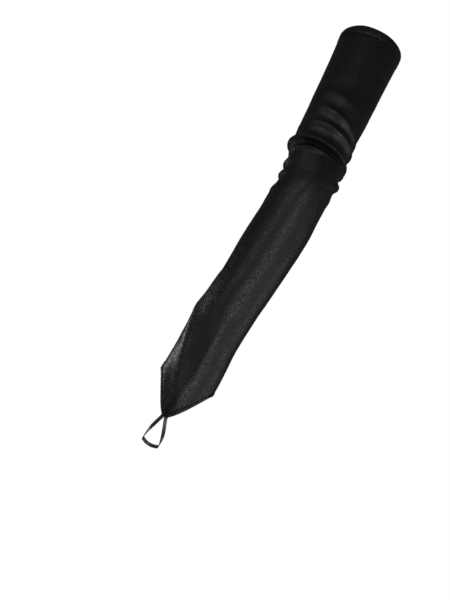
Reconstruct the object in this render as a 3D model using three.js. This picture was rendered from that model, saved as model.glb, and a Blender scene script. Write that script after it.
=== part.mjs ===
import * as THREE from 'three';

// Long satin evening mitten for the left arm, shown in the form it has when worn with the elbow a little
// bent: a sleeve with slouched folds at the elbow, a turned hem at the top, a narrow hem round the hand
// end, whose front runs down to a point, and a ribbon loop that holds the point to the middle finger.
// Millimetres. The origin is the middle of the top opening, +Z runs up the forearm, -Y is the side of
// the back of the hand, +X the outer side of the arm and -X the thumb side. A place on the sleeve is
// given by two values: down, the distance from the top edge along the arm, and turn, the degrees round
// the arm from the front, positive towards the outer side.

// Driving sizes of the sleeve
const gloveLength = 472; // from the top edge to the point, along the arm
const upperArmLength = 188; // from the top edge to the elbow bend
const elbowSpread = 45; // the bend is spread over this length to each side of the elbow
const leanBack = 12.1; // degrees that the upper arm leans back from the forearm's line
const leanIn = 6.6; // degrees that it leans towards the thumb side
const armWidth = 60; // forearm, from thumb side to outer side
const armDepth = 60; // forearm, from front to back
const satinWall = 1.2;
const pieceGap = 0.3; // clearance between neighbouring pieces

// Hems
const hemHeight = 11;
const hemWall = 2.4;
const edgeWidth = 3.2;
const edgeWall = 2.2;

// Hand end: the point hangs this far below the straight edge at the palm
const pointDrop = 47;
const pointTurn = -2.3;
const pointSide = 1.2; // fall of the point's sides, for one half width of the arm
const pointRound = 0.25; // rounding of the point's tip, as a share of the half width
const cornerRound = 0.08; // rounding where the sides meet the straight edge, as a share of pointDrop

// Finger loop and the tack that holds its ends
const fingerWidth = 16.8; // of the finger that the loop rings
const fingerAside = 1.8; // the finger's middle lies this far to the outer side of the ribbon's ends
const loopDrop = 27; // from the hem to where the loop passes between the fingers
const loopBack = 3; // the palm side of the loop lies this much lower
const ribbonWidth = 3.8;
const ribbonFront = 0.35; // share of the finger's roundness that its face follows near the point
const ribbonThickness = 1.2;
const ribbonTuck = 3; // the ribbon's ends run up behind the hem by this much
const tackWidth = 5;
const tackHeight = 2.2;
const tackThickness = 1;

// Sections down the arm. at: share of gloveLength. wide and deep: shares of armWidth and armDepth.
// across and back: the section's middle off the centre line, shares of armWidth and armDepth.
const sections = [
  { at: 0.0, wide: 1.176, deep: 1.233, across: 0.009, back: 0 },
  { at: 0.03, wide: 1.167, deep: 1.217, across: 0.009, back: 0 },
  { at: 0.106, wide: 1.122, deep: 1.183, across: -0.001, back: 0 },
  { at: 0.201, wide: 1.087, deep: 1.14, across: -0.018, back: 0 },
  { at: 0.286, wide: 1.037, deep: 1.1, across: -0.038, back: 0 },
  { at: 0.339, wide: 0.993, deep: 1.067, across: -0.017, back: 0 },
  { at: 0.386, wide: 0.943, deep: 1.047, across: 0.025, back: 0 },
  { at: 0.424, wide: 0.973, deep: 1.043, across: 0.015, back: 0 },
  { at: 0.458, wide: 1.007, deep: 1.033, across: 0.008, back: 0 },
  { at: 0.498, wide: 1.023, deep: 1.017, across: 0.022, back: 0 },
  { at: 0.572, wide: 1.025, deep: 0.987, across: 0.019, back: 0 },
  { at: 0.646, wide: 0.985, deep: 0.947, across: 0.016, back: 0.003 },
  { at: 0.72, wide: 0.965, deep: 0.893, across: -0.003, back: 0.012 },
  { at: 0.794, wide: 0.982, deep: 0.8, across: -0.009, back: 0.027 },
  { at: 0.858, wide: 0.995, deep: 0.717, across: 0.027, back: 0.04 },
  { at: 0.907, wide: 1.007, deep: 0.667, across: 0.037, back: 0.05 },
  { at: 1.006, wide: 1.01, deep: 0.62, across: 0.04, back: 0.057 },
];

// Folds that run round the arm. at: share of gloveLength at the fold's middle. turn and spread: degrees,
// its middle and how far it runs to each side before it has died out. fall: share of gloveLength that
// it drops a right angle further towards the outer side. high: share of armWidth. above and below: shares
// of gloveLength, how quickly its two flanks fall away.
const ringFolds = [
  { at: 0.197, turn: -5, spread: 75, fall: 0.011, high: 0.027, above: 0.0127, below: 0.0148 },
  { at: 0.25, turn: 20, spread: 115, fall: 0.021, high: 0.053, above: 0.0095, below: 0.0117 },
  { at: 0.284, turn: 30, spread: 150, fall: 0.0127, high: 0.063, above: 0.0085, below: 0.0115 },
  { at: 0.317, turn: -110, spread: 95, fall: 0, high: 0.078, above: 0.011, below: 0.0095 },
  { at: 0.3185, turn: 0, spread: 150, fall: 0.0068, high: 0.058, above: 0.008, below: 0.0053 },
  { at: 0.327, turn: -5, spread: 112, fall: 0.0068, high: -0.033, above: 0.0042, below: 0.0127 },
  { at: 0.337, turn: 105, spread: 70, fall: 0, high: 0.065, above: 0.0159, below: 0.0095 },
  { at: 0.339, turn: -35, spread: 98, fall: -0.0013, high: 0.045, above: 0.0064, below: 0.0085 },
  { at: 0.413, turn: -5, spread: 70, fall: 0, high: 0.037, above: 0.047, below: 0.127 },
  { at: 0.37, turn: -100, spread: 70, fall: -0.003, high: 0.06, above: 0.0085, below: 0.0117 },
  { at: 0.399, turn: -100, spread: 65, fall: -0.003, high: 0.063, above: 0.0106, below: 0.0085 },
  { at: 0.439, turn: -100, spread: 55, fall: -0.003, high: 0.027, above: 0.0106, below: 0.0106 },
  { at: 0.371, turn: 85, spread: 50, fall: -0.02, high: 0.06, above: 0.0085, below: 0.0076 },
  { at: 0.403, turn: 100, spread: 45, fall: -0.012, high: 0.017, above: 0.0106, below: 0.0106 },
  { at: 0.36, turn: 180, spread: 75, fall: 0.0028, high: 0.045, above: 0.0095, below: 0.0095 },
  { at: 0.392, turn: 175, spread: 65, fall: -0.004, high: 0.04, above: 0.0095, below: 0.0095 },
];

// Folds that run down the arm. from and to: shares of gloveLength. turnFrom and turnTo: degrees at those
// two ends. inner and outer: degrees, how quickly it falls away to the thumb side and to the outer side.
// high: share of armWidth, negative for a dent.
const longFolds = [
  { from: 0.403, to: 0.911, turnFrom: 15, turnTo: 25, inner: 40, outer: 40, high: -0.042 },
  { from: 0.636, to: 0.788, turnFrom: -66, turnTo: -95, inner: 11, outer: 11, high: 0.027 },
  { from: 0.712, to: 0.992, turnFrom: -98, turnTo: 12, inner: 14, outer: 14, high: 0.033 },
  { from: 0.731, to: 1.038, turnFrom: 8, turnTo: 3, inner: 17, outer: 38, high: 0.053 },
];

// The sleeve's three lengths. They meet in the hollow under the elbow's main fold and at the wrist. Each
// has bands of rows of faces, finer where the folds lie. to: share of gloveLength, rows: how many. The
// last length has one band more, which closes in on the hand's edge.
const sleeveLengths = {
  upper_sleeve: [{ to: 0.175, rows: 5 }, { to: 0.297, rows: 12 }, { to: 0.33, rows: 8 }],
  forearm_sleeve: [{ to: 0.36, rows: 6 }, { to: 0.456, rows: 9 }, { to: 0.62, rows: 4 }, { to: 0.72, rows: 3 }],
  hand_sleeve: [{ to: 0.826, rows: 4 }],
};
const handRows = 6;
const columns = 40; // faces round the arm
const frontCrowding = 0.3; // how much closer the columns stand at the front than on average
const loopSteps = 44; // steps along the ribbon
const armSteps = 4; // places that set the ribbon's way down each side of the finger
const armEase = 0.9; // under 1 the ribbon drops first and spreads later

// Outline of the ribbon across its length, as shares of half its width and half its thickness.
const ribbonOutline = [
  { wide: -1, thick: 0 },
  { wide: -0.8, thick: 1 },
  { wide: 0.8, thick: 1 },
  { wide: 1, thick: 0 },
  { wide: 0.8, thick: -1 },
  { wide: -0.8, thick: -1 },
];

const degrees = Math.PI / 180;
const palmEdge = gloveLength - pointDrop;

// Height of a smooth curve through the rows of a table, at a share of the length.
function through(rows, name, share) {
  const last = rows.length - 1;
  let i = 0;
  while (i < last - 1 && rows[i + 1].at <= share) i += 1;
  const slopeAt = (k) => {
    const before = rows[Math.max(0, k - 1)];
    const after = rows[Math.min(last, k + 1)];
    return (after[name] - before[name]) / (after.at - before.at);
  };
  const step = rows[i + 1].at - rows[i].at;
  const t = THREE.MathUtils.clamp((share - rows[i].at) / step, 0, 1);
  const keepFirst = (1 + 2 * t) * (1 - t) ** 2;
  const pull = t * (1 - t) * step;
  return keepFirst * rows[i][name] + (1 - keepFirst) * rows[i + 1][name]
    + pull * ((1 - t) * slopeAt(i) - t * slopeAt(i + 1));
}

// Direction down the upper arm. The forearm's is straight down.
const upperDown = new THREE.Vector3(
  Math.tan(leanIn * degrees), -Math.tan(leanBack * degrees), -1).normalize();
const foreDown = new THREE.Vector3(0, 0, -1);

// Centre line and its direction: straight, a parabola round the elbow, straight again.
function armLine(down) {
  const elbow = upperDown.clone().multiplyScalar(upperArmLength);
  const t = THREE.MathUtils.clamp((down - upperArmLength + elbowSpread) / (2 * elbowSpread), 0, 1);
  const point = elbow.clone();
  if (t === 0) point.addScaledVector(upperDown, down - upperArmLength);
  else if (t === 1) point.addScaledVector(foreDown, down - upperArmLength);
  else {
    point.addScaledVector(upperDown, -((1 - t) ** 2) * elbowSpread);
    point.addScaledVector(foreDown, t * t * elbowSpread);
  }
  const direction = upperDown.clone().multiplyScalar(1 - t).addScaledVector(foreDown, t).normalize();
  return { point, direction };
}

// Difference of two turns, between -180 and 180 degrees.
function turnBetween(turn, middle) {
  return THREE.MathUtils.euclideanModulo(turn - middle + 180, 360) - 180;
}

// How far the folds lift the cloth off the plain sections.
function foldHeight(turn, down) {
  let height = 0;
  for (const fold of ringFolds) {
    const aside = turnBetween(turn, fold.turn);
    const along = down / gloveLength - fold.at - fold.fall * Math.sin(aside * degrees);
    const reach = along < 0 ? fold.above : fold.below;
    const fade = Math.cos(90 * degrees * Math.min(1, Math.abs(aside) / fold.spread)) ** 2;
    height += fold.high * armWidth * fade * Math.exp(-((along / reach) ** 2));
  }
  for (const fold of longFolds) {
    const along = (down / gloveLength - fold.from) / (fold.to - fold.from);
    const middle = THREE.MathUtils.lerp(fold.turnFrom, fold.turnTo, THREE.MathUtils.clamp(along, 0, 1));
    const ends = THREE.MathUtils.smoothstep(along, 0, 0.25) * (1 - THREE.MathUtils.smoothstep(along, 0.75, 1));
    const aside = turnBetween(turn, middle);
    const reach = aside < 0 ? fold.inner : fold.outer;
    height += fold.high * armWidth * ends * Math.exp(-((aside / reach) ** 2));
  }
  return height;
}

// A wall that slopes needs more depth to keep its thickness: the length of the slope for one unit of run.
function slopeStretch(turn, down) {
  const step = 0.5;
  const downSlope = (foldHeight(turn, down + step) - foldHeight(turn, down - step)) / (2 * step);
  const arc = 2 * step * degrees * armWidth / 2;
  const turnSlope = (foldHeight(turn + step, down) - foldHeight(turn - step, down)) / arc;
  return Math.hypot(1, downSlope, turnSlope);
}

// A point of the cloth: on the outer face, or inward of it.
function clothPoint(turn, down, inward = 0) {
  const share = down / gloveLength;
  const halfWide = through(sections, 'wide', share) * armWidth / 2;
  const halfDeep = through(sections, 'deep', share) * armDepth / 2;
  const { point, direction } = armLine(down);
  const outerSide = new THREE.Vector3(1, 0, 0);
  outerSide.addScaledVector(direction, -outerSide.dot(direction)).normalize();
  const backSide = outerSide.clone().cross(direction);
  const sine = Math.sin(turn * degrees);
  const cosine = Math.cos(turn * degrees);
  const facing = new THREE.Vector2(halfDeep * sine, -halfWide * cosine).normalize();
  const lift = foldHeight(turn, down) - inward * (inward > 0 ? slopeStretch(turn, down) : 1);
  const across = through(sections, 'across', share) * armWidth;
  const back = through(sections, 'back', share) * armDepth;
  point.addScaledVector(outerSide, halfWide * sine + across + lift * facing.x);
  point.addScaledVector(backSide, -halfDeep * cosine + back + lift * facing.y);
  return point;
}

// Where the hand end stops at a turn: a rounded point at the front, straight round the palm side.
function edgeDown(turn) {
  const aside = turnBetween(turn, 0);
  const over = Math.max(0, Math.abs(aside) - 90) * degrees;
  const sideways = Math.sin(THREE.MathUtils.clamp(aside, -90, 90) * degrees) + Math.sign(aside) * over;
  const fromTip = sideways - Math.sin(pointTurn * degrees);
  const fall = 1 - pointSide * (Math.hypot(fromTip, pointRound) - pointRound);
  return palmEdge + pointDrop * (fall + Math.hypot(fall, cornerRound)) / 2;
}

// A width square to the hand's edge, measured down the arm instead.
function edgeLength(turn, width) {
  const step = 1;
  const arc = clothPoint(turn + step, palmEdge).distanceTo(clothPoint(turn - step, palmEdge));
  return width * Math.hypot(1, (edgeDown(turn + step) - edgeDown(turn - step)) / arc);
}

// Turn of a column, closer together at the front.
function columnTurn(i) {
  const even = 360 * i / columns - 180;
  return even - frontCrowding * Math.sin(even * degrees) / degrees;
}

// A body from a grid of points that closes on itself in rows, and in columns too or with flat end caps.
function gridBody(grid, closed) {
  const across = grid[0].length;
  const position = grid.flat().flatMap((p) => [p.x, p.y, p.z]);
  const index = [];
  const laps = closed ? grid.length : grid.length - 1;
  for (let i = 0; i < laps; i += 1) {
    for (let j = 0; j < across; j += 1) {
      const a = i * across + j;
      const b = i * across + (j + 1) % across;
      const c = ((i + 1) % grid.length) * across + j;
      const d = ((i + 1) % grid.length) * across + (j + 1) % across;
      index.push(a, d, c, a, b, d);
    }
  }
  if (!closed) {
    const end = (grid.length - 1) * across;
    for (let j = 1; j < across - 1; j += 1) {
      index.push(0, j + 1, j, end, end + j, end + j + 1);
    }
  }
  const geometry = new THREE.BufferGeometry();
  geometry.setAttribute('position', new THREE.Float32BufferAttribute(position, 3));
  geometry.setIndex(index);
  geometry.computeVertexNormals();
  return geometry;
}

// A ring round the arm with the same cross-section all the way: profileAt gives its outline at a turn,
// as places { down, inward } that run down the outer face and back up the inner one.
function armRing(profileAt) {
  const grid = [];
  for (let i = 0; i < columns; i += 1) {
    const turn = columnTurn(i);
    grid.push(profileAt(turn).map((place) => clothPoint(turn, place.down, place.inward)));
  }
  return gridBody(grid, true);
}

// Rows of one length of the sleeve at a turn. They are level, but the last ones close in on the hand's edge.
function sleeveRows(name, turn) {
  const names = Object.keys(sleeveLengths);
  const above = sleeveLengths[names[names.indexOf(name) - 1]];
  const rows = [(above ? above[above.length - 1].to * gloveLength : hemHeight) + pieceGap];
  const bands = sleeveLengths[name].map((band) => ({ to: band.to * gloveLength, rows: band.rows }));
  if (name === names[names.length - 1]) {
    bands.push({ to: edgeDown(turn) - edgeLength(turn, edgeWidth + pieceGap), rows: handRows });
  }
  for (const band of bands) {
    const start = rows[rows.length - 1];
    for (let k = 1; k <= band.rows; k += 1) rows.push(start + (band.to - start) * k / band.rows);
  }
  return rows;
}

function sleeve(name) {
  return armRing((turn) => {
    const rows = sleeveRows(name, turn);
    const outer = rows.map((down) => ({ down, inward: 0 }));
    const inner = rows.map((down) => ({ down, inward: satinWall })).reverse();
    return [...outer, ...inner];
  });
}

// Outline of a turned edge: flat at one end, rounded at its folded one. from and to: places down the arm.
function foldedOutline(from, to, wall) {
  const proud = (wall - satinWall) / 2;
  const round = (to - from) * Math.min(1, wall / 2 / Math.abs(to - from));
  const outline = [{ down: from, inward: -proud }];
  for (const angle of [0, 45, 90, 135, 180]) {
    outline.push({
      down: to - round + round * Math.sin(angle * degrees),
      inward: wall / 2 - proud - wall / 2 * Math.cos(angle * degrees),
    });
  }
  outline.push({ down: from, inward: wall - proud });
  return outline;
}

function topHem() {
  return armRing(() => foldedOutline(hemHeight, 0, hemWall).reverse());
}

function handHem() {
  return armRing((turn) => {
    const edge = edgeDown(turn);
    return foldedOutline(edge - edgeLength(turn, edgeWidth), edge, edgeWall);
  });
}

// Outward radius of the ribbon's middle round the finger, and where its ends leave the hem.
const ringRadius = (fingerWidth + ribbonThickness) / 2;

function ribbonStart() {
  const hemInside = (satinWall + edgeWall) / 2;
  return clothPoint(pointTurn, edgeDown(pointTurn), hemInside + pieceGap + ribbonThickness / 2);
}

// Middle line of the ribbon. Its ends lie side by side behind the point. From there it lies on the finger:
// down one side, round the palm side and up the other.
function ribbonPath() {
  const start = ribbonStart();
  const onFinger = (angle, drop) => new THREE.Vector3(
    start.x + fingerAside + ringRadius * Math.sin(angle),
    start.y + ringRadius * (1 - Math.cos(angle)),
    start.z - drop);
  const arm = (side) => {
    const aside = side * (ribbonWidth + pieceGap) / 2 - fingerAside;
    const endAngle = Math.asin(aside / ringRadius);
    const sideAngle = side * 90 * degrees;
    const points = [-ribbonTuck, -ribbonTuck / 2, 0].map((drop) => onFinger(endAngle, drop));
    for (let k = 1; k <= armSteps; k += 1) {
      const share = k / armSteps;
      points.push(onFinger(THREE.MathUtils.lerp(endAngle, sideAngle, share), loopDrop * share ** armEase));
    }
    for (const share of [0.4, 0.8]) {
      points.push(onFinger(sideAngle * (1 + share), loopDrop + loopBack * share));
    }
    return points;
  };
  return new THREE.CatmullRomCurve3([...arm(-1), ...arm(1).reverse()], false, 'centripetal');
}

// The ribbon is a flat strip carried along its path. It lies flat on the hand near the point, and its face
// turns to the finger's side as it drops.
function fingerLoop() {
  const path = ribbonPath();
  const start = ribbonStart();
  const grid = [];
  for (let i = 0; i <= loopSteps; i += 1) {
    const point = path.getPointAt(i / loopSteps);
    const heading = path.getTangentAt(i / loopSteps);
    const fallen = (start.z - point.z) / loopDrop;
    const facing = THREE.MathUtils.lerp(ribbonFront, 1, THREE.MathUtils.smoothstep(fallen, 0.5, 1));
    const away = new THREE.Vector3(
      facing * (point.x - start.x - fingerAside), point.y - start.y - ringRadius, 0);
    away.addScaledVector(heading, -away.dot(heading)).normalize();
    const wide = heading.clone().cross(away);
    const corner = (w, t) => point.clone().addScaledVector(wide, w * ribbonWidth / 2)
      .addScaledVector(away, t * ribbonThickness / 2);
    grid.push(ribbonOutline.map((place) => corner(place.wide, place.thick)));
  }
  return gridBody(grid, false);
}

// A bar with round ends, sewn across the front of the point.
function loopTack() {
  const end = tackHeight / 2;
  const half = tackWidth / 2 - end;
  const outline = new THREE.Shape();
  outline.moveTo(-half, -end);
  outline.lineTo(half, -end);
  outline.absarc(half, 0, end, -90 * degrees, 90 * degrees);
  outline.lineTo(-half, end);
  outline.absarc(-half, 0, end, 90 * degrees, 270 * degrees);
  return new THREE.ExtrudeGeometry(outline, { depth: tackThickness, bevelEnabled: false, curveSegments: 5 });
}

function satinMaterial(colour) {
  return new THREE.MeshStandardMaterial({ color: colour, roughness: 0.42, metalness: 0 });
}

function piece(name, geometry, material) {
  const mesh = new THREE.Mesh(geometry, material);
  mesh.name = name;
  return mesh;
}

const mitten = new THREE.Group();
for (const name of Object.keys(sleeveLengths)) mitten.add(piece(name, sleeve(name), satinMaterial(0x0e0e10)));
mitten.add(piece('top_hem', topHem(), satinMaterial(0x121214)));
mitten.add(piece('hand_hem', handHem(), satinMaterial(0x0c0c0d)));
mitten.add(piece('finger_loop', fingerLoop(), satinMaterial(0x2a2825)));

const tack = piece('loop_tack', loopTack(), satinMaterial(0x08080a));
const tackDown = edgeDown(pointTurn) - edgeWidth - tackHeight / 4;
const tackPlace = clothPoint(pointTurn, tackDown, -(edgeWall - satinWall) / 2 - pieceGap);
tack.rotation.x = 90 * degrees;
tack.position.copy(tackPlace);
mitten.add(tack);

export default mitten;
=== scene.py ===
import bpy
import numpy as np
from mathutils import Matrix


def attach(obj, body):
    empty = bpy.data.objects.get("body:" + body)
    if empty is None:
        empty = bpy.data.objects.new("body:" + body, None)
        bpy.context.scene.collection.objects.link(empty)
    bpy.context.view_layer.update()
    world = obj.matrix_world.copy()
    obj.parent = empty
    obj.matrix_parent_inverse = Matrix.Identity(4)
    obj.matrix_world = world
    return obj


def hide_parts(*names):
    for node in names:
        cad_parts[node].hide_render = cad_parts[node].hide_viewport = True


# Long black satin evening mitten for the left arm, in the form it has when worn. The shape functions work
# in millimetres, as the part's source does, and the meshes are in metres. A place on the sleeve is given
# by two values: turn, the degrees round the arm from the front, positive towards the outer side, and
# down, the distance from the top edge along the arm.

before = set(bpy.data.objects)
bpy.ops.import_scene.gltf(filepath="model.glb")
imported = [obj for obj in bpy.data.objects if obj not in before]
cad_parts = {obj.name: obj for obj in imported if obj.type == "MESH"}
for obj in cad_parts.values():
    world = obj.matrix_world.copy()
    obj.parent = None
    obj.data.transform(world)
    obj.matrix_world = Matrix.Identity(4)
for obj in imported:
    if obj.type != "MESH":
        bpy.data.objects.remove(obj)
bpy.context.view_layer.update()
scene = bpy.context.scene
millimetre = 0.001  # in metres

# Sizes of the arm's form, and those that several pieces share
body = dict(
    gloveLength=472.0, upperArmLength=188.0, elbowSpread=45.0, leanBack=12.1, leanIn=6.6,
    armWidth=60.0, armDepth=60.0, satinWall=1.2, pieceGap=0.3, hemHeight=11.0, edgeWidth=3.2, edgeWall=2.2,
)

# Sections down the arm. at: share of gloveLength. wide and deep: shares of armWidth and armDepth.
# across and back: the section's middle off the centre line, as such shares too.
sectionNames = ["at", "wide", "deep", "across", "back"]
sections = np.array([
    (0.0, 1.176, 1.233, 0.009, 0),
    (0.03, 1.167, 1.217, 0.009, 0),
    (0.106, 1.122, 1.183, -0.001, 0),
    (0.201, 1.087, 1.14, -0.018, 0),
    (0.286, 1.037, 1.1, -0.038, 0),
    (0.339, 0.993, 1.067, -0.017, 0),
    (0.386, 0.943, 1.047, 0.025, 0),
    (0.424, 0.973, 1.043, 0.015, 0),
    (0.458, 1.007, 1.033, 0.008, 0),
    (0.498, 1.023, 1.017, 0.022, 0),
    (0.572, 1.025, 0.987, 0.019, 0),
    (0.646, 0.985, 0.947, 0.016, 0.003),
    (0.72, 0.965, 0.893, -0.003, 0.012),
    (0.794, 0.982, 0.8, -0.009, 0.027),
    (0.858, 0.995, 0.717, 0.027, 0.04),
    (0.907, 1.007, 0.667, 0.037, 0.05),
    (1.006, 1.01, 0.62, 0.04, 0.057),
])

# Folds that run round the arm: at, its middle down the arm in mm; turn and spread in degrees; fall, mm
# that it drops a right angle further towards the outer side; high in mm; above and below, the widths of its
# two flanks in mm; slump, how far its crest hangs down over the cloth below it, as a share of high; power,
# of the bell across it, 2 where none is given.
ringFolds = [
    dict(at=93.0, turn=-5, spread=75, fall=5.0, high=1.6, above=6.0, below=7.0, slump=0),
    dict(at=117.6, turn=20, spread=115, fall=10.0, high=3.2, above=4.0, below=5.5, slump=0.1),
    dict(at=133.8, turn=30, spread=150, fall=6.0, high=3.9, above=3.8, below=5.2, slump=0.1),
    dict(at=145.0, turn=95, spread=45, fall=0.0, high=-2.4, above=4.0, below=3.5, slump=0),
    dict(at=148.8, turn=-110, spread=95, fall=0.0, high=4.7, above=5.2, below=4.4, slump=0.2),
    dict(at=149.3, turn=0, spread=150, fall=3.2, high=3.8, above=3.6, below=2.6, slump=0.25),
    dict(at=152.3, turn=-62, spread=18, fall=-18.0, high=0.9, above=0.8, below=0.7, slump=0),
    dict(at=157.5, turn=105, spread=70, fall=0, high=4.0, above=7.5, below=4.2, slump=0.4),
    dict(at=158.8, turn=-35, spread=98, fall=-0.6, high=2.6, above=2.2, below=2.4, slump=0.1, power=1.6),
    dict(at=152.2, turn=-5, spread=112, fall=3.2, high=-6.0, above=0.7, below=5.5, slump=0, power=1.0),
    dict(at=195.0, turn=-5, spread=70, fall=0.0, high=2.2, above=22.0, below=60.0, slump=0),
    dict(at=173.4, turn=-100, spread=70, fall=-1.4, high=3.6, above=4.0, below=5.5, slump=0.3),
    dict(at=187.2, turn=-100, spread=65, fall=-1.4, high=3.8, above=5.0, below=4.0, slump=0.3),
    dict(at=207.2, turn=-100, spread=55, fall=-1.4, high=1.6, above=5.0, below=5.0, slump=0.2),
    dict(at=174.8, turn=82, spread=54, fall=-9.6, high=3.7, above=4.6, below=5.4, slump=0, power=3.0),
    dict(at=190.2, turn=100, spread=45, fall=-5.5, high=1.0, above=5.0, below=5.0, slump=0),
    dict(at=169.9, turn=180, spread=75, fall=1.3, high=2.7, above=4.5, below=4.5, slump=0.3),
    dict(at=185.0, turn=175, spread=65, fall=-1.9, high=2.4, above=4.5, below=4.5, slump=0.3),
]

# Folds that run down the arm: start and end in mm down, turnFrom and turnTo in degrees at those two, inner
# and outer, how wide it is to the thumb side and to the outer side in degrees, high in mm.
longFolds = [
    dict(start=190.0, end=430.0, turnFrom=15, turnTo=25, inner=40, outer=40, high=-2.5),
    dict(start=300.2, end=371.9, turnFrom=-66, turnTo=-95, inner=11, outer=11, high=1.6),
    dict(start=336.0, end=468.0, turnFrom=-98, turnTo=12, inner=14, outer=14, high=2.0),
    dict(start=345.0, end=490.0, turnFrom=8, turnTo=3, inner=17, outer=38, high=3.2),
]
longFade = 0.25  # share of a long fold's run over which it rises, and over which it dies out

handEnd = dict(pointDrop=47.0, pointTurn=-2.3, pointSide=1.2, pointRound=0.25, cornerRound=0.08)
palmEdge = body["gloveLength"] - handEnd["pointDrop"]

# Small undulations that the worn cloth has besides its folds. Each row is one wave: turns round the arm,
# waves down the length, height in mm and phase. swayReach: where they start, are full, start to fade and
# have died out.
swayWaves = [(2, 5, 0.1, 0.4), (3, -4, 0.08, 1.9), (4, 9, 0.05, 3.1), (5, -7, 0.04, 4.4), (7, 13, 0.03, 5.2),
             (3, 17, 0.03, 0.9), (9, -15, 0.02, 2.2), (6, 22, 0.02, 3.8)]
swayReach = (14.0, 50.0, palmEdge - 30, palmEdge + 20)

# Puckers beside the hems: count, waves round the arm; top and hand, their heights, and topReach and
# handReach, how quickly they die out away from the hem, in mm. shift moves their phase and strength changes
# their height about even, so that no two are alike: rows for sines.
pucker = dict(count=22, top=0.22, topReach=7.0, hand=0.14, handReach=5.0,
              shift=[(1.7, 2, 0), (1.3, 5, 1)], even=0.6, strength=[(0.4, 3, 2)])


def curve(x, knots, values):
    # Cubic Hermite curve through (knots, values): in each span the two ends are mixed by a smooth step,
    # and each end's slope, taken between its neighbours, is added.
    knots, values = np.asarray(knots, float), np.asarray(values, float)
    last = len(knots) - 1
    i = np.clip(np.searchsorted(knots, x, side="right") - 1, 0, last - 1)
    before, after = np.maximum(np.arange(last + 1) - 1, 0), np.minimum(np.arange(last + 1) + 1, last)
    slope = (values[after] - values[before]) / (knots[after] - knots[before])
    step = knots[i + 1] - knots[i]
    t = np.clip((x - knots[i]) / step, 0, 1)
    keepFirst = (1 + 2 * t) * (1 - t) ** 2
    pull = t * (1 - t) * step
    return (keepFirst * values[i] + (1 - keepFirst) * values[i + 1]
            + pull * ((1 - t) * slope[i] - t * slope[i + 1]))


def smoothStep(x, start, end):
    # 0 before start and 1 after end, and between them three squares less two cubes of the share gone.
    t = np.clip((x - start) / (end - start), 0, 1)
    return t * t * (3 - 2 * t)


def plateau(x, start, full, fade, end):
    # 1 between full and fade, 0 before start and after end, with smooth steps between.
    return smoothStep(x, start, full) * (1 - smoothStep(x, fade, end))


def sines(angle, rows):
    # Sum of sines. Each row is a height, the waves in one turn of the angle, and a phase.
    return sum(high * np.sin(times * angle + phase) for high, times, phase in rows)


def turnBetween(turn, middle):
    # Difference of two turns, between -180 and 180 degrees.
    return np.mod(turn - middle + 180, 360) - 180


def unit(v):
    return v / np.linalg.norm(v, axis=-1, keepdims=True)


def lengthsAlong(points):
    # Length along a line of points up to each of them.
    return np.concatenate([[0], np.cumsum(np.linalg.norm(np.diff(points, axis=0), axis=1))])


upperDown = unit(np.array([np.tan(np.radians(body["leanIn"])), -np.tan(np.radians(body["leanBack"])), -1.0]))
foreDown = np.array([0.0, 0.0, -1.0])


def armLine(down):
    # Centre line and its direction: straight, a parabola round the elbow, straight again.
    spread = body["elbowSpread"]
    beyond = down[..., None] - body["upperArmLength"]
    t = np.clip((beyond + spread) / (2 * spread), 0, 1)
    bend = -upperDown * spread * (1 - t) ** 2 + foreDown * spread * t * t
    offset = np.where(t <= 0, upperDown * beyond, np.where(t >= 1, foreDown * beyond, bend))
    return upperDown * body["upperArmLength"] + offset, unit((1 - t) * upperDown + t * foreDown)


def foldHeight(turn, down):
    # Sum of the folds: each is a bell across its middle line, with its own width on each flank, times a
    # squared cosine, or smooth ends, along it. Returns the lift and how far the cloth slumps down.
    lift = np.zeros(turn.shape)
    slump = np.zeros(turn.shape)
    for fold in ringFolds:
        aside = turnBetween(turn, fold["turn"])
        along = down - fold["at"] - fold["fall"] * np.sin(np.radians(aside))
        reach = np.where(along < 0, fold["above"], fold["below"])
        fade = np.cos(np.pi / 2 * np.minimum(1, np.abs(aside) / fold["spread"])) ** 2
        height = fold["high"] * fade * np.exp(-(np.abs(along / reach) ** fold.get("power", 2)))
        lift += height
        slump += height * fold["slump"]
    for fold in longFolds:
        along = (down - fold["start"]) / (fold["end"] - fold["start"])
        middle = fold["turnFrom"] + (fold["turnTo"] - fold["turnFrom"]) * np.clip(along, 0, 1)
        aside = turnBetween(turn, middle)
        reach = np.where(aside > 0, fold["outer"], fold["inner"])
        lift += fold["high"] * plateau(along, 0, longFade, 1 - longFade, 1) * np.exp(-((aside / reach) ** 2))
    return lift, slump


def clothDetail(turn, down):
    # Undulations: a sum of sines of both parameters. Puckers: they die out exponentially from each hem.
    angle, share = np.radians(turn), down / body["gloveLength"]
    detail = np.zeros(turn.shape)
    for around, along, high, phase in swayWaves:
        detail += high * np.sin(around * angle + 2 * np.pi * along * share + phase)
    detail *= plateau(down, *swayReach)
    wave = np.sin(pucker["count"] * angle + sines(angle, pucker["shift"]))
    wave = wave * (pucker["even"] + sines(angle, pucker["strength"]))
    fromTop = np.maximum(0, down - body["hemHeight"])
    fromEdge = np.maximum(0, edgeDown(turn) - body["edgeWidth"] - down)
    detail += pucker["top"] * wave * np.exp(-fromTop / pucker["topReach"])
    detail += pucker["hand"] * wave * np.exp(-fromEdge / pucker["handReach"])
    return detail


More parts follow.
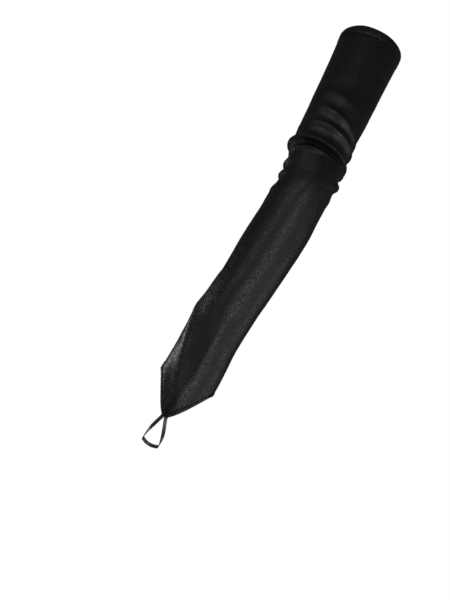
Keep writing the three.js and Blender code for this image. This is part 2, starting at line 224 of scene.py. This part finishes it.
def clothPoint(turn, down, inward=0.0, detail=True):
    # A point of the cloth: centre line + ellipse of the section + folds along the ellipse's normal. The
    # pieces that lie on the cloth leave out its detail, which is its small waves and its slump.
    turn, down = np.broadcast_arrays(np.asarray(turn, float), np.asarray(down, float))
    lift, slump = foldHeight(turn, down)
    place = down
    if detail:
        lift = lift + clothDetail(turn, down)
        place = down + slump
    share = place / body["gloveLength"]
    section = {name: curve(share, sections[:, 0], sections[:, k]) for k, name in enumerate(sectionNames)}
    halfWide = section["wide"] * body["armWidth"] / 2
    halfDeep = section["deep"] * body["armDepth"] / 2
    point, direction = armLine(place)
    outerSide = unit(np.array([1.0, 0, 0]) - direction[..., :1] * direction)
    backSide = np.cross(outerSide, direction)
    sine, cosine = np.sin(np.radians(turn)), np.cos(np.radians(turn))
    facing = unit(np.stack([halfDeep * sine, -halfWide * cosine], -1))
    lift = lift - inward
    across = halfWide * sine + section["across"] * body["armWidth"] + lift * facing[..., 0]
    back = -halfDeep * cosine + section["back"] * body["armDepth"] + lift * facing[..., 1]
    return point + outerSide * across[..., None] + backSide * back[..., None]


def edgeDown(turn):
    # Where the hand end stops at a turn: a rounded point at the front, straight round the palm side.
    aside = turnBetween(np.asarray(turn, float), 0)
    over = np.radians(np.maximum(0, np.abs(aside) - 90))
    sideways = np.sin(np.radians(np.clip(aside, -90, 90))) + np.sign(aside) * over
    fromTip = sideways - np.sin(np.radians(handEnd["pointTurn"]))
    fall = 1 - handEnd["pointSide"] * (np.hypot(fromTip, handEnd["pointRound"]) - handEnd["pointRound"])
    return palmEdge + handEnd["pointDrop"] * (fall + np.hypot(fall, handEnd["cornerRound"])) / 2


def edgeDrop(turns):
    # Drop of the hand's edge for one degree of turn.
    return (edgeDown(turns + 1) - edgeDown(turns - 1)) / 2


def edgeSlope(turn):
    # Length along the arm for one millimetre square to the hand's edge.
    arc = np.linalg.norm(clothPoint(turn + 1, palmEdge, detail=False)
                         - clothPoint(turn - 1, palmEdge, detail=False), axis=-1)
    return np.hypot(1, 2 * edgeDrop(turn) / arc)


def columnTurns(count):
    # Turns of the columns, closer together at the front.
    crowding = 0.3
    even = 360 * np.arange(count) / count - 180
    return even - np.degrees(crowding * np.sin(np.radians(even)))


# Meshes from grids of points

def newPiece(name, vertices, faces, material):
    mesh = bpy.data.meshes.new(name)
    mesh.from_pydata(vertices.reshape(-1, 3) * millimetre, [], faces)
    mesh.polygons.foreach_set("use_smooth", np.ones(len(mesh.polygons), bool))
    mesh.materials.append(material)
    mesh.update()
    piece = bpy.data.objects.new(name, mesh)
    scene.collection.objects.link(piece)
    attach(piece, "root")
    return piece


def gridFaces(rows, columns, closeRows=False, first=0):
    # Quads of a grid of rows by columns that is wrapped round in its columns, and in its rows if asked.
    i, j = np.meshgrid(np.arange(rows if closeRows else rows - 1), np.arange(columns), indexing="ij")
    i, j = i.ravel(), j.ravel()
    corners = [(i, j), (i + 1, j), (i + 1, j + 1), (i, j + 1)]
    return np.stack([first + (a % rows) * columns + b % columns for a, b in corners], 1)


def tubes(paths, radius, sides):
    # Round tubes along many paths at once: paths is (count, steps, 3). Each ring is a circle square to
    # the path, and the rings at its ends are drawn in. Returns vertices and faces.
    endShare = 0.35  # radius of the rings at the ends
    aslant = np.array([0.31, 0.23, 0.92])  # a direction that no path takes
    count, steps, _ = paths.shape
    heading = unit(np.gradient(paths, axis=1))
    side = unit(np.cross(heading, aslant))
    up = np.cross(side, heading)
    angle = 2 * np.pi * np.arange(sides) / sides
    fullness = np.ones(steps)
    fullness[[0, -1]] = endShare
    ring = (side[:, :, None] * np.cos(angle)[None, None, :, None]
            + up[:, :, None] * np.sin(angle)[None, None, :, None])
    vertices = paths[:, :, None] + ring * radius * fullness[None, :, None, None]
    firsts = np.arange(count) * steps * sides
    faces = (gridFaces(steps, sides)[None] + firsts[:, None, None]).reshape(-1, 4).tolist()
    for first in firsts.tolist():
        faces.append([first + a for a in range(sides)])
        faces.append([first + (steps - 1) * sides + a for a in reversed(range(sides))])
    return vertices.reshape(-1, 3), faces


# Materials. dark and light: the two tones. roughness: from and to. grainScale and cloudScale: how fine
# the twill's grain and the soft changes of tone are. grainHigh: the grain's depth in mm.
satinLook = dict(dark=(0.004, 0.004, 0.0045), light=(0.008, 0.008, 0.0085), roughness=(0.3, 0.6),
                 specular=0.5, grainScale=640, cloudScale=60, bump=0.7, grainHigh=0.25)
ribbonLook = dict(dark=(0.03, 0.026, 0.022), light=(0.085, 0.078, 0.068), roughness=(0.28, 0.4),
                  specular=0.7, grainScale=1400, cloudScale=200, bump=0.4, grainHigh=0.15)
threadLook = dict(dark=(0.004, 0.004, 0.0045), light=(0.012, 0.012, 0.013), roughness=(0.6, 0.75),
                  specular=0.3, grainScale=2500, cloudScale=300, bump=0.6, grainHigh=0.1)
noiseSpan = (0.35, 0.65)  # the noise's values that give the two ends of a look
grainDetail, cloudDetail = 1, 2  # octaves of each noise beyond the first


def clothMaterial(name, look):
    # Satin: a dark base whose tone and roughness vary softly, with the twill's fine grain as bump.
    material = bpy.data.materials.new(name)
    material.use_nodes = True
    nodes, links = material.node_tree.nodes, material.node_tree.links
    shader = nodes["Principled BSDF"]
    shader.inputs["Specular IOR Level"].default_value = look["specular"]
    place = nodes.new("ShaderNodeTexCoord")

    def noise(scale, detail):
        texture = nodes.new("ShaderNodeTexNoise")
        texture.inputs["Scale"].default_value = scale
        texture.inputs["Detail"].default_value = detail
        links.new(place.outputs["Object"], texture.inputs["Vector"])
        return texture.outputs["Fac"]

    def spread(value, low, high):
        change = nodes.new("ShaderNodeMapRange")
        change.inputs["From Min"].default_value = noiseSpan[0]
        change.inputs["From Max"].default_value = noiseSpan[1]
        change.inputs["To Min"].default_value = low
        change.inputs["To Max"].default_value = high
        links.new(value, change.inputs["Value"])
        return change.outputs["Result"]

    grain = noise(look["grainScale"], grainDetail)
    cloud = noise(look["cloudScale"], cloudDetail)
    tone = nodes.new("ShaderNodeMix")
    tone.data_type = "RGBA"
    tone.inputs["A"].default_value = (*look["dark"], 1)
    tone.inputs["B"].default_value = (*look["light"], 1)
    links.new(spread(cloud, 0, 1), tone.inputs["Factor"])
    links.new(tone.outputs["Result"], shader.inputs["Base Color"])
    links.new(spread(grain, *look["roughness"]), shader.inputs["Roughness"])
    bump = nodes.new("ShaderNodeBump")
    bump.inputs["Strength"].default_value = look["bump"]
    bump.inputs["Distance"].default_value = look["grainHigh"] * millimetre
    links.new(grain, bump.inputs["Height"])
    links.new(bump.outputs["Normal"], shader.inputs["Normal"])
    return material


satin = clothMaterial("blackSatin", satinLook)
ribbonSatin = clothMaterial("ribbonSatin", ribbonLook)
thread = clothMaterial("sewingThread", threadLook)

# Sleeve: a closed shell, its outer face on a fine grid and its inner face on one with half the rows and
# columns. folds and crease: where the closer rows start, are full, start to thin out and end, and foldRows
# and creaseRows: how many more there are. handReach: length above the palm edge over which the rows slant.
# tuck: it runs this far under both hems.
sleeve = dict(columns=184, rows=384, samples=4000, wall=0.8, tuck=1.2, handReach=35.0,
              folds=(64.0, 84.0, 232.0, 252.0), foldRows=2.4,
              crease=(145.0, 148.0, 156.0, 159.0), creaseRows=9.0)


def sleeveRows(turns):
    # Places down the sleeve at each turn: closer together where the folds lie, and from the wrist on
    # drawn out to the slanting edge of the hand.
    handStart = palmEdge - sleeve["handReach"]
    fine = np.linspace(body["hemHeight"] - sleeve["tuck"], palmEdge, sleeve["samples"])
    density = (1 + sleeve["foldRows"] * plateau(fine, *sleeve["folds"])
               + sleeve["creaseRows"] * plateau(fine, *sleeve["crease"]))
    total = np.concatenate([[0], np.cumsum((density[1:] + density[:-1]) / 2)])
    level = np.interp(np.linspace(0, total[-1], sleeve["rows"]), total, fine)
    ending = edgeDown(turns) - edgeSlope(turns) * body["edgeWidth"] + sleeve["tuck"]
    stretch = (ending - handStart) / (palmEdge - handStart)
    lower = handStart + np.maximum(0, level - handStart)[:, None] * stretch[None, :]
    return np.where(level[:, None] < handStart, level[:, None], lower)


def normalsOf(points):
    # Outward normal of a grid of points that closes in its columns: the cross product of its two steps.
    around = np.roll(points, -1, axis=1) - np.roll(points, 1, axis=1)
    along = np.gradient(points, axis=0)
    return unit(np.cross(around, -along))


def buildSleeve():
    columns, rows = sleeve["columns"], sleeve["rows"]
    turns = columnTurns(columns)
    outer = clothPoint(turns[None, :], sleeveRows(turns))
    innerFrom = np.append(np.arange(0, rows, 2), rows - 1)
    inner = (outer - normalsOf(outer) * sleeve["wall"])[innerFrom, ::2]
    innerRows, innerColumns = inner.shape[:2]
    faces = gridFaces(rows, columns).tolist()
    faces += gridFaces(innerRows, innerColumns, first=rows * columns)[:, ::-1].tolist()
    # a strip of triangles closes each end, as the outer face has two columns for each inner one
    j = np.arange(innerColumns)
    for outerRow, innerRow, flip in ((0, 0, False), (rows - 1, innerRows - 1, True)):
        a = outerRow * columns + 2 * j
        b = outerRow * columns + 2 * j + 1
        c = outerRow * columns + (2 * j + 2) % columns
        d = rows * columns + innerRow * innerColumns + j
        e = rows * columns + innerRow * innerColumns + (j + 1) % innerColumns
        strip = np.concatenate([np.stack([a, b, d], 1), np.stack([b, e, d], 1), np.stack([b, c, e], 1)])
        faces += (strip[:, ::-1] if flip else strip).tolist()
    vertices = np.concatenate([outer.reshape(-1, 3), inner.reshape(-1, 3)])
    return newPiece("sleeve_cloth", vertices, faces, satin)


sleevePiece = buildSleeve()
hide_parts("upper_sleeve", "forearm_sleeve", "hand_sleeve")
print("sleeve made")

# Hems: a closed outline carried round the arm. wall: its thickness. thin: share of it at the sewn end.
# full: power that makes its sides flatter. wave: rows for sines, how far its folded end wanders.
hem = dict(steps=30, columns=300, wall=2.4, thin=0.5, full=0.7, wave=[(0.25, 3, 0.5), (0.15, 7, 2.2)])
edge = dict(steps=18, columns=320, wall=1.7, thin=0.85, full=0.4)


def hemOutline(look):
    # Closed outline of a turned edge: along, 0 at its sewn end and 1 at its folded one, and inward in
    # mm. It is an ellipse made flatter by two powers and drawn in at the sewn end.
    endPower = 0.55
    drawnIn = 0.35  # share of its width over which it thickens
    angle = 2 * np.pi * np.arange(look["steps"]) / look["steps"]
    cosine, sine = np.cos(angle), np.sin(angle)
    along = 0.5 + 0.5 * np.sign(cosine) * np.abs(cosine) ** endPower
    across = np.sign(sine) * np.abs(sine) ** look["full"]
    half = look["wall"] / 2 * (look["thin"] + (1 - look["thin"]) * smoothStep(along, 0.0, drawnIn))
    return along, across * half


def buildHem(name, look, downAt, rippleAt):
    # downAt gives the outline's places down the arm, and rippleAt how far its face swells out midway
    # between its two ends.
    turns = columnTurns(look["columns"])
    along, across = hemOutline(look)
    ripple = rippleAt(np.radians(turns))[None, :] * np.sin(np.pi * along)[:, None]
    inward = (body["satinWall"] / 2 - across)[:, None] - ripple
    points = clothPoint(turns[None, :], downAt(turns, along[:, None]), inward, detail=False)
    faces = gridFaces(look["steps"], look["columns"], closeRows=True)
    piece = newPiece(name, points, faces.tolist(), satin)
    return piece


def topHemDown(turns, along):
    return body["hemHeight"] * (1 - along) + sines(np.radians(turns), hem["wave"]) * along ** 2


def topHemRipple(angle):
    return sines(angle, [(0.16, 24, sines(angle, [(1.5, 2, 0)])), (0.12, 9, 1)])


def handHemDown(turns, along):
    return edgeDown(turns) - (1 - along) * edgeSlope(turns) * body["edgeWidth"]


def handHemRipple(angle):
    return sines(angle, [(0.1, 31, 0), (0.08, 12, 1)])


topHem = buildHem("top_hem_band", hem, topHemDown, topHemRipple)
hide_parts("top_hem")
handHem = buildHem("hand_hem_edge", edge, handHemDown, handHemRipple)
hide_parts("hand_hem")
print("hems made")

# Stitches: every, from one to the next; length and radius of each; base and rise, the height of its ends
# and how far it arches over them. The top row lies at a place down the arm, and the hand's row at inside,
# the distance from the hem's sewn edge.
topStitch = dict(at=9.4, every=3.2, length=2.1, radius=0.2, base=0.25, rise=0.3)
handStitch = dict(inside=0.6, every=2.8, length=1.8, radius=0.18, base=0.2, rise=0.3)
stitchSteps = 6
stitchSides = 6
seamSamples = 1441


def topSeam(turn):
    return np.full_like(turn, topStitch["at"])


def handSeam(turn):
    return edgeDown(turn) - edgeSlope(turn) * (body["edgeWidth"] - handStitch["inside"])


def evenTurns(every, seam):
    # Turns spaced evenly along a seam round the arm.
    fine = np.linspace(-180, 180, seamSamples)
    length = lengthsAlong(clothPoint(fine, seam(fine), detail=False))
    count = int(length[-1] / every)
    return np.interp((np.arange(count) + 0.5) * length[-1] / count, length, fine)


def stitchRow(name, look, seam, dropAt):
    # A row of stitches: each is a short arc that rises out of the cloth and goes back into it. dropAt
    # gives the seam's drop for one degree of turn.
    turns = evenTurns(look["every"], seam)
    downs, drop = seam(turns), dropAt(turns)
    t = np.linspace(-0.5, 0.5, stitchSteps)
    before = clothPoint(turns - 1, downs - drop, detail=False)
    after = clothPoint(turns + 1, downs + drop, detail=False)
    here = clothPoint(turns, downs, detail=False)
    heading = unit(after - before)
    outward = unit(here - clothPoint(turns, downs, 1, detail=False))
    paths = (here[:, None] + heading[:, None] * (t * look["length"])[None, :, None]
             + outward[:, None] * (look["base"] + look["rise"] * np.cos(np.pi * t))[None, :, None])
    piece = newPiece(name, *tubes(paths, look["radius"], stitchSides), thread)
    return piece


topStitches = stitchRow("top_hem_stitches", topStitch, topSeam, np.zeros_like)
edgeStitches = stitchRow("hand_hem_stitches", handStitch, handSeam, edgeDrop)

# Finger loop: a flat ribbon carried along its path, its face turned to the finger. faceFront: share of the
# finger's roundness that its face follows near the point, and faceTurn: where it takes up the rest, as
# shares of the drop. palmPlaces: knots on the palm side. square: power that squares its outline. middle and
# selvedge: thickness in the middle, and how much more the edges have. cup: how far its edges bend to the
# finger, in mm. waver: rows for sines, its twist along the run.
loop = dict(fingerWidth=16.8, fingerAside=1.8, drop=27.0, back=3.0, width=3.8, thickness=1.2, tuck=3.0,
            faceFront=0.35, faceTurn=(0.5, 1), armSteps=4, armEase=0.9, palmPlaces=(0.4, 0.8),
            steps=260, sides=20, samples=4000, square=0.6, middle=0.55, selvedge=0.35, cup=0.1,
            waver=[(0.12, 1 / 5.3, 0), (0.08, 1 / 2.1, 1)])
ringRadius = (loop["fingerWidth"] + loop["thickness"]) / 2
loopStart = clothPoint(
    handEnd["pointTurn"], edgeDown(handEnd["pointTurn"]),
    (body["satinWall"] + body["edgeWall"]) / 2 + body["pieceGap"] + loop["thickness"] / 2, detail=False)
loopMiddle = loopStart + np.array([loop["fingerAside"], ringRadius, 0])


def loopKnots():
    # Places that the ribbon runs through: side by side behind the point, down each side of the finger and
    # round its palm side. angle goes round the finger and drop is measured down from the hem.
    places = []
    share = np.arange(1, loop["armSteps"] + 1) / loop["armSteps"]
    around = np.array(loop["palmPlaces"])
    for side in (-1, 1):
        endAside = side * (loop["width"] + body["pieceGap"]) / 2 - loop["fingerAside"]
        endAngle = np.arcsin(endAside / ringRadius)
        sideAngle = side * np.pi / 2
        angle = np.concatenate([[endAngle] * 3, endAngle + (sideAngle - endAngle) * share,
                                sideAngle * (1 + around)])
        drop = np.concatenate([[-loop["tuck"], -loop["tuck"] / 2, 0],
                               loop["drop"] * share ** loop["armEase"], loop["drop"] + loop["back"] * around])
        points = loopStart + np.stack([loop["fingerAside"] + ringRadius * np.sin(angle),
                                       ringRadius * (1 - np.cos(angle)), -drop], -1)
        places.append(points if side < 0 else points[::-1])
    return np.concatenate(places)


def smoothPath(knots, steps):
    # Cubic Hermite curve through the knots, each placed at the square root of the chords before it, then
    # evened out so that the steps are equally long.
    chord = np.sqrt(np.linalg.norm(np.diff(knots, axis=0), axis=1))
    at = np.concatenate([[0], np.cumsum(chord)])
    fine = np.linspace(0, at[-1], loop["samples"])
    dense = np.stack([curve(fine, at, knots[:, k]) for k in range(3)], -1)
    length = lengthsAlong(dense)
    even = np.linspace(0, length[-1], steps)
    return np.stack([np.interp(even, length, dense[:, k]) for k in range(3)], -1), even


def buildLoop():
    steps, sides = loop["steps"], loop["sides"]
    path, run = smoothPath(loopKnots(), steps)
    heading = unit(np.gradient(path, axis=0))
    away = path - loopMiddle
    away[:, 2] = 0
    fallen = (loopStart[2] - path[:, 2]) / loop["drop"]
    away[:, 0] *= loop["faceFront"] + (1 - loop["faceFront"]) * smoothStep(fallen, *loop["faceTurn"])
    away = unit(away - heading * (away * heading).sum(-1, keepdims=True))
    wide = np.cross(heading, away)
    angle = 2 * np.pi * np.arange(sides) / sides
    cosine, sine = np.cos(angle), np.sin(angle)
    across = np.sign(cosine) * np.abs(cosine) ** loop["square"]
    thick = np.sign(sine) * np.abs(sine) ** loop["square"] * (loop["middle"] + loop["selvedge"] * across ** 2)
    outward = ((thick * loop["thickness"] / 2 - loop["cup"] * across ** 2)[None, :]
               + sines(run, loop["waver"])[:, None] * across[None, :])
    points = (path[:, None] + wide[:, None] * (across * loop["width"] / 2)[None, :, None]
              + away[:, None] * outward[..., None])
    faces = gridFaces(steps, sides).tolist()
    faces.append(list(range(sides)))
    faces.append([(steps - 1) * sides + k for k in reversed(range(sides))])
    return newPiece("finger_loop_ribbon", points, faces, ribbonSatin)


loopPiece = buildLoop()
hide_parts("finger_loop")

# Tack: a bar of thread wound across the front of the point, over the ribbon's ends. wraps: turns of the
# thread. thread: its radius. drawn: how much lower the outermost wraps are. wander: how far the bar's middle
# line strays, and wanderTimes how often. core: radius of the plain bar inside, and coreShort how much
# shorter that is.
tack = dict(width=5.0, height=2.2, thickness=1.0, wraps=11, wrapSteps=16, thread=0.26, threadSides=6,
            drawn=0.35, wander=0.12, wanderTimes=9, core=0.34, coreShort=1.2, coreSteps=9, coreSides=8)


def buildTack():
    down = edgeDown(handEnd["pointTurn"]) - body["edgeWidth"] - tack["height"] / 4
    proud = (body["edgeWall"] - body["satinWall"]) / 2 + body["pieceGap"]
    place = clothPoint(handEnd["pointTurn"], down, -proud, detail=False)
    middle = -tack["thickness"] / 2
    t = np.linspace(0, 1, tack["wraps"] * tack["wrapSteps"])
    angle = 2 * np.pi * tack["wraps"] * t
    swell = 1 - tack["drawn"] * (2 * t - 1) ** 4
    winding = np.stack([(t - 0.5) * (tack["width"] - 2 * tack["thread"]),
                        middle + np.sin(angle) * (tack["thickness"] / 2 - tack["thread"]) * swell,
                        np.cos(angle) * (tack["height"] / 2 - tack["thread"]) * swell
                        + tack["wander"] * np.sin(tack["wanderTimes"] * t)], -1)
    vertices, faces = tubes((place + winding)[None], tack["thread"], tack["threadSides"])
    along = np.linspace(-0.5, 0.5, tack["coreSteps"]) * (tack["width"] - tack["coreShort"])
    core = np.stack([along, np.full_like(along, middle), np.zeros_like(along)], -1)
    coreVertices, coreFaces = tubes((place + core)[None], tack["core"], tack["coreSides"])
    faces += [[v + len(vertices) for v in face] for face in coreFaces]
    return newPiece("loop_tack_thread", np.concatenate([vertices, coreVertices]), faces, thread)


tackPiece = buildTack()
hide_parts("loop_tack")
print("loop and tack made")

# Floor and world. half and level: the floor's half width and its height in metres. tone: of the floor.
# ambient: the even light from all round. background: what the camera sees behind the mitten.
studio = dict(half=4, level=-1.3, tone=0.86, roughness=0.8, ambient=0.065, background=(1, 1, 1))

floorMaterial = bpy.data.materials.new("paleFloor")
floorMaterial.use_nodes = True
floorShader = floorMaterial.node_tree.nodes["Principled BSDF"]
floorShader.inputs["Base Color"].default_value = (*[studio["tone"]] * 3, 1)
floorShader.inputs["Roughness"].default_value = studio["roughness"]
floorCorners = [(x * studio["half"], y * studio["half"], studio["level"])
                for x, y in ((-1, -1), (1, -1), (1, 1), (-1, 1))]
floorMesh = bpy.data.meshes.new("floor")
floorMesh.from_pydata(floorCorners, [], [(0, 1, 2, 3)])
floorMesh.materials.append(floorMaterial)
floor = bpy.data.objects.new("floor", floorMesh)
scene.collection.objects.link(floor)

world = bpy.data.worlds.new("studio")
scene.world = world
world.use_nodes = True
worldNodes, worldLinks = world.node_tree.nodes, world.node_tree.links
worldNodes.clear()
output = worldNodes.new("ShaderNodeOutputWorld")
mix = worldNodes.new("ShaderNodeMixShader")
rays = worldNodes.new("ShaderNodeLightPath")
fill = worldNodes.new("ShaderNodeBackground")
fill.inputs["Color"].default_value = (1, 1, 1, 1)
fill.inputs["Strength"].default_value = studio["ambient"]
backdrop = worldNodes.new("ShaderNodeBackground")
backdrop.inputs["Color"].default_value = (*studio["background"], 1)
worldLinks.new(rays.outputs["Is Camera Ray"], mix.inputs["Fac"])
worldLinks.new(fill.outputs["Background"], mix.inputs[1])
worldLinks.new(backdrop.outputs["Background"], mix.inputs[2])
worldLinks.new(mix.outputs["Shader"], output.inputs["Surface"])
scene.view_settings.view_transform = "Standard"
scene.view_settings.look = "None"


def linkAt(thing, axes, place):
    # Links an object and puts it at a place, with its own X, Y and Z axes pointing as given.
    scene.collection.objects.link(thing)
    rows = [(*(axis[k] for axis in axes), place[k]) for k in range(3)]
    thing.matrix_world = Matrix(rows + [(0, 0, 0, 1)])


# Camera at the photograph's angle: its position, and its own X, Y and Z axes
camera = dict(lens=85.0, sensor=36.0, at=(0.0121, -1.4719, -0.5831), x=(0.8480, -0.0920, 0.5219),
              y=(-0.5299, -0.1473, 0.8352), z=(0, -0.9848, -0.1736))
cameraData = bpy.data.cameras.new("camera")
cameraData.lens = camera["lens"]
cameraData.sensor_width = camera["sensor"]
cameraPiece = bpy.data.objects.new("camera", cameraData)
linkAt(cameraPiece, [camera[key] for key in "xyz"], camera["at"])
scene.camera = cameraPiece

# Lights: around, degrees to the camera's right, and above, degrees over its axis, both seen from the place
# that it aims at, which is the mitten's middle where none is given; far and size in metres; bright, the glow
# of its face; spread, degrees of its beam, 180 where none is given
lights = [
    dict(name="front", around=25, above=-8, far=1.25, size=(0.6, 0.8), bright=2.0),
    dict(name="frontHigh", around=-12, above=36, far=1.25, size=(0.9, 0.5), bright=1.3),
    dict(name="left", around=-75, above=12, far=1.25, size=(0.5, 0.7), bright=0.5),
    dict(name="elbowLeft", around=-60, above=42, far=0.45, size=(0.2, 0.2), bright=0.06,
         aim=(0.01, -0.04, -0.12), spread=50),
    dict(name="elbowRim", around=-125, above=10, far=0.4, size=(0.12, 0.12), bright=0.035,
         aim=(-0.01, -0.04, -0.17), spread=30),
    dict(name="lowRight", around=84, above=-34, far=0.95, size=(0.5, 0.6), bright=1.1,
         aim=(0.01, -0.03, -0.3)),
    dict(name="frontRight", around=60, above=-20, far=0.7, size=(0.35, 0.35), bright=0.6,
         aim=(0.01, -0.03, -0.32)),
    dict(name="wristLeft", around=-105, above=24, far=0.4, size=(0.18, 0.18), bright=0.35,
         aim=(0.01, -0.04, -0.415), spread=36),
]
mittenMiddle = (0.01, -0.03, -0.25)
sideways, upwards, backwards = (np.array(camera[key]) for key in "xyz")
for light in lights:
    around, above = np.radians([light["around"], light["above"]])
    back = (sideways * np.sin(around) * np.cos(above) + upwards * np.sin(above)
            + backwards * np.cos(around) * np.cos(above))
    data = bpy.data.lights.new(light["name"], "AREA")
    data.shape = "RECTANGLE"
    data.size, data.size_y = light["size"]
    data.energy = light["bright"] * np.pi * data.size * data.size_y
    data.spread = np.radians(light.get("spread", 180))
    side = unit(np.cross(upwards, back))
    place = np.array(light.get("aim", mittenMiddle)) + back * light["far"]
    linkAt(bpy.data.objects.new(light["name"], data), [side, np.cross(back, side), back], place)
print("studio ready")
